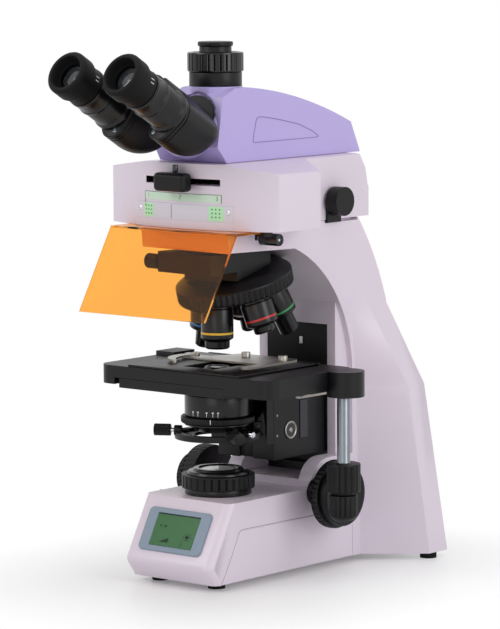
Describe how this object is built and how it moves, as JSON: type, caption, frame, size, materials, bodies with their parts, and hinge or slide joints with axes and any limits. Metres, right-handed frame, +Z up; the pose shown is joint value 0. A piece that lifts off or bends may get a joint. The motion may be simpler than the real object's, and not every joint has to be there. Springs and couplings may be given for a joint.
{
  "type": "fluorescence microscope",
  "caption": "Upright compound microscope with a fluorescence illuminator, amber shield, trinocular head, rotating nosepiece and mechanical stage.",
  "frame": {"origin": "on the bench, under the middle of the whole instrument's box; the optical axis stands 12 mm to the left of it and 20 mm in front of it", "axes": "+Z up along the optical axis, X to the user's right, Y away from the user"},
  "size_m": [0.2338, 0.3913, 0.4965],
  "materials": {
    "stand_paint": "smooth pale lilac paint",
    "head_paint": "smooth violet paint",
    "black_metal": "satin black",
    "black_plastic": "fine matte black",
    "grey_plastic": "matte grey",
    "display": "glossy green display window",
    "black_rubber": "matte rubber",
    "eyecup_rubber": "soft black rubber",
    "bare_aluminium": "bare, finely machined",
    "bright_steel": "brushed",
    "objective_metal": "satin black with bright and coloured bands",
    "lens_glass": "coated optical glass",
    "amber_plastic": "clear amber sheet",
    "label": "pale green label strips"
  },
  "bodies": {
    "stand": {"base_tray": "stand_paint", "base_casting": "stand_paint", "arm_casting": "stand_paint", "rubber_feet": "black_rubber", "lcd_bezel": "grey_plastic", "lcd_window": "display", "power_inlet": "black_plastic", "base_lamp": "bare_aluminium", "field_mount": "black_metal", "field_lens": "lens_glass", "guide_panel": "black_metal", "nosepiece_mount": "black_metal", "illuminator_housing": "stand_paint", "front_labels": "label", "fluorescence_lamp": "bare_aluminium", "shield_rails": "black_plastic"},
    "power_switch": {"power_switch": "black_plastic"},
    "brightness_knob": {"brightness_knob": "black_plastic"},
    "field_iris_ring": {"field_iris_ring": "black_metal"},
    "coarse_focus": {"coarse_focus": "black_plastic"},
    "fine_focus": {"fine_focus": "black_plastic"},
    "carrier": {"stage_carrier": "black_metal", "stage_plate": "black_metal"},
    "condenser_knob": {"condenser_knob": "black_plastic"},
    "condenser": {"condenser_fork": "black_metal", "condenser_body": "black_metal", "condenser_lens": "lens_glass"},
    "aperture_ring": {"aperture_ring": "black_metal"},
    "centring_screw_right": {"centring_screw_right": "black_metal"},
    "centring_screw_left": {"centring_screw_left": "black_metal"},
    "stage": {"stage_body": "black_metal", "stage_deck": "black_metal"},
    "slide_holder": {"slide_holder": "bright_steel"},
    "slide_finger": {"slide_finger": "bright_steel"},
    "stage_y_knob": {"stage_y_knob": "black_plastic"},
    "stage_x_knob": {"stage_x_knob": "black_plastic"},
    "nosepiece": {"nosepiece_turret": "black_metal", "objective_4x": "objective_metal", "objective_10x": "objective_metal", "objective_20x": "objective_metal", "objective_40x": "objective_metal", "objective_100x": "objective_metal"},
    "nosepiece_lock": {"nosepiece_lock": "black_metal"},
    "filter_slider": {"filter_slider": "black_metal"},
    "selector": {"selector": "black_plastic"},
    "shutter_rod": {"shutter_rod": "bright_steel"},
    "shield": {"shield": "amber_plastic"},
    "head": {"head_body": "head_paint", "photo_tube": "black_metal", "hinge_hub": "black_metal"},
    "photo_ring": {"photo_ring": "black_metal"},
    "dust_cap": {"dust_cap": "black_plastic"},
    "right_arm": {"right_arm": "black_metal", "right_tube": "black_metal"},
    "left_arm": {"left_arm": "black_metal", "left_tube": "black_metal"},
    "right_eyepiece": {"right_eyepiece": "black_metal"},
    "left_eyepiece": {"left_eyepiece": "black_metal"},
    "right_eyecup": {"right_eyecup": "eyecup_rubber"},
    "left_eyecup": {"left_eyecup": "eyecup_rubber"}
  },
  "joints": [
    {"name": "power_rocker", "type": "hinge", "parent": "stand", "child": "power_switch", "pos_m": [0.006, 0.189, 0.036], "axis": [1, 0, 0], "range_deg": [-8, 8]},
    {"name": "brightness_turn", "type": "hinge", "parent": "stand", "child": "brightness_knob", "pos_m": [-0.064, -0.028, 0.066], "axis": [-1, 0, 0], "range_deg": [-135, 135]},
    {"name": "field_iris_turn", "type": "hinge", "parent": "stand", "child": "field_iris_ring", "pos_m": [-0.012, -0.02, 0.091], "axis": [0, 0, 1], "range_deg": [-40, 60]},
    {"name": "stage_focus", "type": "slide", "parent": "stand", "child": "carrier", "axis": [0, 0, 1], "range_m": [-0.014, 0.0025]},
    {"name": "coarse_focus_turn", "type": "hinge", "parent": "stand", "child": "coarse_focus", "pos_m": [-0.012, 0.0575, 0.0755], "axis": [1, 0, 0], "range_deg": [-205, 40]},
    {"name": "fine_focus_turn", "type": "hinge", "parent": "stand", "child": "fine_focus", "pos_m": [-0.012, 0.0575, 0.0755], "axis": [1, 0, 0], "continuous": true},
    {"name": "condenser_focus", "type": "slide", "parent": "carrier", "child": "condenser", "axis": [0, 0, 1], "range_m": [-0.01, 0.0008]},
    {"name": "condenser_knob_turn", "type": "hinge", "parent": "carrier", "child": "condenser_knob", "pos_m": [-0.012, 0.0445, 0.136], "axis": [1, 0, 0], "range_deg": [-100, 10]},
    {"name": "aperture_turn", "type": "hinge", "parent": "condenser", "child": "aperture_ring", "pos_m": [-0.012, -0.02, 0.1515], "axis": [0, 0, 1], "range_deg": [-40, 40]},
    {"name": "centring_turn_right", "type": "hinge", "parent": "condenser", "child": "centring_screw_right", "pos_m": [0.0313, -0.045, 0.137], "axis": [0.866, -0.5, 0], "range_deg": [-180, 180]},
    {"name": "centring_turn_left", "type": "hinge", "parent": "condenser", "child": "centring_screw_left", "pos_m": [-0.0553, -0.045, 0.137], "axis": [-0.866, -0.5, 0], "range_deg": [-180, 180]},
    {"name": "stage_y", "type": "slide", "parent": "carrier", "child": "stage", "axis": [0, 1, 0], "range_m": [-0.04, 0.01]},
    {"name": "stage_x", "type": "slide", "parent": "stage", "child": "slide_holder", "axis": [1, 0, 0], "range_m": [-0.0375, 0.0375]},
    {"name": "stage_y_knob_turn", "type": "hinge", "parent": "stage", "child": "stage_y_knob", "pos_m": [0.1, 0.026, 0.1], "axis": [0, 0, 1], "range_deg": [-520, 135]},
    {"name": "stage_x_knob_turn", "type": "hinge", "parent": "stage", "child": "stage_x_knob", "pos_m": [0.1, 0.026, 0.07], "axis": [0, 0, 1], "range_deg": [-455, 455]},
    {"name": "slide_finger_turn", "type": "hinge", "parent": "slide_holder", "child": "slide_finger", "pos_m": [-0.062, 0.006, 0.202], "axis": [0, 0, 1], "range_deg": [-30, 0], "stiffness_Nm_per_rad": 0.01, "springref_deg": 17.19},
    {"name": "nosepiece_turn", "type": "hinge", "parent": "stand", "child": "nosepiece", "pos_m": [-0.012, -0.02, 0.3707], "axis": [0, -0.2588, 0.9659], "continuous": true},
    {"name": "nosepiece_lock_turn", "type": "hinge", "parent": "stand", "child": "nosepiece_lock", "pos_m": [-0.052, -0.056, 0.295], "axis": [-1, 0, 0], "range_deg": [-180, 180]},
    {"name": "filter_slide", "type": "slide", "parent": "stand", "child": "filter_slider", "axis": [1, 0, 0], "range_m": [-0.038, 0.038]},
    {"name": "selector_slide", "type": "slide", "parent": "stand", "child": "selector", "axis": [0, 1, 0], "range_m": [0, 0.026]},
    {"name": "shutter_slide", "type": "slide", "parent": "stand", "child": "shutter_rod", "axis": [1, 0, 0], "range_m": [0, 0.012]},
    {"name": "shield_slide", "type": "slide", "parent": "stand", "child": "shield", "axis": [0, -1, 0], "range_m": [0, 0.03]},
    {"name": "head_turn", "type": "hinge", "parent": "stand", "child": "head", "pos_m": [-0.012, -0.02, 0.3884], "axis": [0, 0, 1], "range_deg": [-15, 15]},
    {"name": "photo_ring_turn", "type": "hinge", "parent": "head", "child": "photo_ring", "pos_m": [-0.012, -0.02, 0.478], "axis": [0, 0, 1], "range_deg": [-30, 30]},
    {"name": "dust_cap_lift", "type": "slide", "parent": "head", "child": "dust_cap", "axis": [0, 0, 1], "range_m": [0, 0.02]},
    {"name": "right_arm_fold", "type": "hinge", "parent": "head", "child": "right_arm", "pos_m": [-0.012, -0.0565, 0.4235], "axis": [0, -0.866, 0.5], "range_deg": [-10, 18.5]},
    {"name": "left_arm_fold", "type": "hinge", "parent": "head", "child": "left_arm", "pos_m": [-0.012, -0.0565, 0.4235], "axis": [0, -0.866, 0.5], "range_deg": [-18.5, 10]},
    {"name": "right_eyepiece_pull", "type": "slide", "parent": "right_arm", "child": "right_eyepiece", "axis": [0, -0.866, 0.5], "range_m": [0, 0.04]},
    {"name": "right_eyecup_turn", "type": "hinge", "parent": "right_eyepiece", "child": "right_eyecup", "pos_m": [0.0207, -0.16196, 0.46083], "axis": [0, -0.866, 0.5], "range_deg": [-90, 90]},
    {"name": "left_eyepiece_pull", "type": "slide", "parent": "left_arm", "child": "left_eyepiece", "axis": [0, -0.866, 0.5], "range_m": [0, 0.04]},
    {"name": "left_eyecup_turn", "type": "hinge", "parent": "left_eyepiece", "child": "left_eyecup", "pos_m": [-0.0447, -0.16196, 0.46083], "axis": [0, -0.866, 0.5], "range_deg": [-90, 90]}
  ],
  "couplings": [
    {"joint": "coarse_focus_turn", "follows": "stage_focus", "rad_per_m": 250},
    {"joint": "condenser_knob_turn", "follows": "condenser_focus", "rad_per_m": 166.7},
    {"joint": "stage_y_knob_turn", "follows": "stage_y", "rad_per_m": 224.4},
    {"joint": "stage_x_knob_turn", "follows": "stage_x", "rad_per_m": 209.4},
    {"joint": "left_arm_fold", "follows": "right_arm_fold", "ratio": -1}
  ]
}
